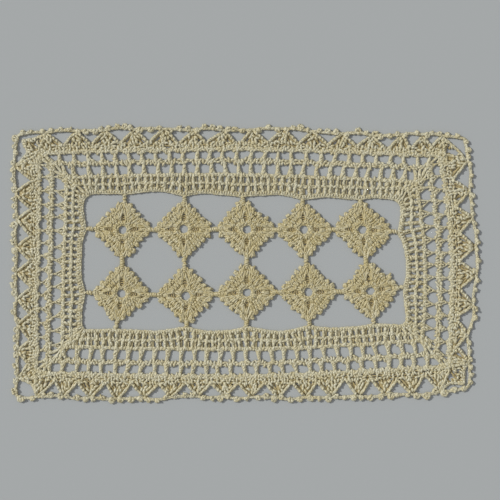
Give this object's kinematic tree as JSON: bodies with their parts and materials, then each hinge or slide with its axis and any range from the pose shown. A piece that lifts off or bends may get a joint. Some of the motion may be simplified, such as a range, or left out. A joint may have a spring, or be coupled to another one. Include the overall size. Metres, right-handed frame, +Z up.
{
  "type": "crochet doily",
  "caption": "Flat rectangular lace mat of crocheted yarn: square motifs set on their points and joined in a lattice, inside a wide openwork border with a picot edge.",
  "frame": {"origin": "on the surface that the doily lies on, under the middle of its outline", "axes": "+X along its long side, +Y along its short side, +Z up from its underside"},
  "size_m": [0.4194, 0.2522, 0.0024],
  "materials": {
    "yarn": "matt plied cotton, ecru"
  },
  "bodies": {
    "root": {"border": "yarn", "motif_r1_c1": "yarn", "motif_r1_c2": "yarn", "motif_r1_c3": "yarn", "motif_r1_c4": "yarn", "motif_r1_c5": "yarn", "motif_r2_c1": "yarn", "motif_r2_c2": "yarn", "motif_r2_c3": "yarn", "motif_r2_c4": "yarn", "motif_r2_c5": "yarn"}
  },
  "joints": []
}
